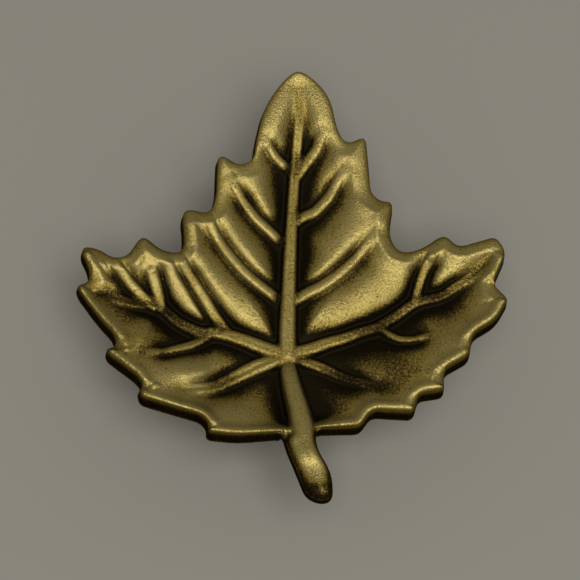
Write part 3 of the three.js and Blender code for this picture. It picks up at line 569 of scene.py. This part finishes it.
mesh = bpy.data.meshes.new("leafKnob")
mesh.from_pydata((coords / 1000).tolist(), [], tris.tolist())
mesh.validate()
mesh.attributes.new("patinaAndShade", "FLOAT", "POINT").data.foreach_set("value", patinaAndShade.astype(np.float32))
mesh.polygons.foreach_set("use_smooth", [True] * len(mesh.polygons))
mesh.update()
knob = bpy.data.objects.new("leafKnob", mesh)
bpy.context.scene.collection.objects.link(knob)
print("leaf knob: %d triangles" % len(mesh.polygons))

brass = {
    # the colours lie along the range of patina and painted shade, from rubbed (0) to black (1)
    "patinaAndShadeRange": (-0.6, 1.0),
    "tones": [(0.0, (0.255, 0.198, 0.065)), (0.2, (0.225, 0.172, 0.05)), (0.42, (0.185, 0.132, 0.029)),
              (0.68, (0.055, 0.036, 0.009)), (0.95, (0.012, 0.009, 0.004))],
    "roughness": (0.32, 0.62), "edgeTint": (0.3, 0.26, 0.16),  # what is seen edge-on stays dark
    # casting grain and blotches: number to the metre, octaves and their strength, share in breaking up the patina
    # and painted shade
    "grain": (4200, 4.0, 0.65, 2.2), "blotch": (420, 5.0, 0.6, 0.4),
    "grainDepth": 0.00017, "grainBump": 0.5,
    "pitsOver": 0.54, "pitsDark": 4.0, "pitsWhere": (-0.05, -0.4),  # pits stay dark where the blade is rubbed
}


def node(tree, kind, **values):
    made = tree.nodes.new(kind)
    for key, value in values.items():
        if hasattr(made, key):
            setattr(made, key, value)
        else:
            made.inputs[key.replace("_", " ")].default_value = value
    return made


def antiqueBrass():
    material = bpy.data.materials.new("antiqueBrass")
    material.use_nodes = True
    tree = material.node_tree
    tree.nodes.clear()
    link = tree.links.new

    def combine(operation, a, b):
        made = tree.nodes.new("ShaderNodeMath")
        made.operation = operation
        for socket, value in zip(made.inputs, (a, b)):
            if isinstance(value, (int, float)):
                socket.default_value = value
            else:
                link(value, socket)
        return made.outputs[0]

    def noise(size, octaves, strength):
        made = node(tree, "ShaderNodeTexNoise", Scale=size, Detail=octaves, Roughness=strength)
        link(coord.outputs["Object"], made.inputs["Vector"])
        return made.outputs["Fac"]

    def mapRange(value, **ends):
        made = node(tree, "ShaderNodeMapRange", **ends)
        link(value, made.inputs["Value"])
        return made.outputs[0]

    coord = tree.nodes.new("ShaderNodeTexCoord")
    grain, blotch = noise(*brass["grain"][:3]), noise(*brass["blotch"][:3])
    patinaAndShadeHere = node(tree, "ShaderNodeAttribute", attribute_name="patinaAndShade").outputs["Fac"]
    broken = patinaAndShadeHere
    for speckle, much in ((blotch, brass["blotch"][3]), (grain, brass["grain"][3])):
        broken = combine("ADD", broken, combine("MULTIPLY", combine("SUBTRACT", speckle, 0.5), much))
    pitsFrom, pitsFull = brass["pitsWhere"]
    pits = combine("MAXIMUM", combine("SUBTRACT", grain, brass["pitsOver"]), 0)
    pits = combine("MULTIPLY", pits, brass["pitsDark"])
    pits = combine("MULTIPLY", pits, mapRange(patinaAndShadeHere, From_Min=pitsFrom, From_Max=pitsFull))
    rubbed, black = brass["patinaAndShadeRange"]
    tone = mapRange(combine("ADD", broken, pits), From_Min=rubbed, From_Max=black)

    ramp = tree.nodes.new("ShaderNodeValToRGB")
    ramp.color_ramp.interpolation = "EASE"
    stops = ramp.color_ramp.elements
    stops[0].position, stops[0].color = brass["tones"][0][0], (*brass["tones"][0][1], 1)
    stops[1].position, stops[1].color = brass["tones"][-1][0], (*brass["tones"][-1][1], 1)
    for place, colour in brass["tones"][1:-1]:
        stops.new(place).color = (*colour, 1)
    link(tone, ramp.inputs["Fac"])

    smoothest, roughest = brass["roughness"]
    bump = node(tree, "ShaderNodeBump", Strength=brass["grainBump"], Distance=brass["grainDepth"])
    link(grain, bump.inputs["Height"])
    shader = node(tree, "ShaderNodeBsdfPrincipled", Metallic=1.0, Specular_Tint=(*brass["edgeTint"], 1))
    link(ramp.outputs["Color"], shader.inputs["Base Color"])
    link(mapRange(tone, To_Min=smoothest, To_Max=roughest), shader.inputs["Roughness"])
    link(bump.outputs[0], shader.inputs["Normal"])
    link(shader.outputs[0], tree.nodes.new("ShaderNodeOutputMaterial").inputs[0])
    return material


mesh.materials.append(antiqueBrass())
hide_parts("leaf_knob")
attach(knob, "root")
print("brass done")

# metres from here on; the camera's angles are in degrees
studio = {
    "floor": (0.198, 0.186, 0.155), "floorRoughness": 0.9, "floorSize": 3.0,
    "lampPlace": (0.03, -0.18, 0.58), "lampSize": (0.36, 0.3), "lampWatts": 2.9,
    "surround": (0.5, 0.5, 0.5), "surroundStrength": 1.0,
    "tilt": 19.5, "swing": -4.5, "roll": -0.5, "aim": (-0.0003, -0.001, 0.0145), "distance": 0.2895, "lens": 152,
}

floorMesh = bpy.data.meshes.new("floor")
half = studio["floorSize"] / 2
floorMesh.from_pydata([(-half, -half, 0), (half, -half, 0), (half, half, 0), (-half, half, 0)], [], [(0, 1, 2, 3)])
floor = bpy.data.objects.new("floor", floorMesh)
bpy.context.scene.collection.objects.link(floor)
paper = bpy.data.materials.new("greyPaper")
paper.use_nodes = True
paperShader = paper.node_tree.nodes["Principled BSDF"]
paperShader.inputs["Base Color"].default_value = (*studio["floor"], 1)
paperShader.inputs["Roughness"].default_value = studio["floorRoughness"]
floorMesh.materials.append(paper)

light = bpy.data.lights.new("overheadSoftbox", "AREA")
light.shape = "RECTANGLE"
light.size, light.size_y = studio["lampSize"]
light.energy = studio["lampWatts"]
lamp = bpy.data.objects.new("overheadSoftbox", light)
lamp.location = studio["lampPlace"]
lamp.rotation_euler = (-Vector(studio["lampPlace"])).to_track_quat("-Z", "Y").to_euler()  # at the knob
bpy.context.scene.collection.objects.link(lamp)
world = bpy.data.worlds.new("studioWorld")
world.use_nodes = True
background = world.node_tree.nodes["Background"]
background.inputs["Color"].default_value = (*studio["surround"], 1)
background.inputs["Strength"].default_value = studio["surroundStrength"]
bpy.context.scene.world = world

camera = bpy.data.cameras.new("camera")
camera.lens = studio["lens"]
cameraObject = bpy.data.objects.new("camera", camera)
tilt, swing, roll = (math.radians(studio[key]) for key in ("tilt", "swing", "roll"))
away = Vector((math.sin(swing) * math.cos(tilt), -math.sin(tilt), math.cos(tilt) * math.cos(swing))).normalized()
cameraObject.location = Vector(studio["aim"]) + away * studio["distance"]
right = (-away).cross(Vector((0, 1, 0))).normalized()
up = right.cross(-away)
right, up = right * math.cos(roll) + up * math.sin(roll), up * math.cos(roll) - right * math.sin(roll)
cameraObject.rotation_euler = Matrix((right, up, away)).transposed().to_euler()
bpy.context.scene.collection.objects.link(cameraObject)
bpy.context.scene.camera = cameraObject
bpy.context.scene.view_settings.view_transform = "Standard"
print("studio done")
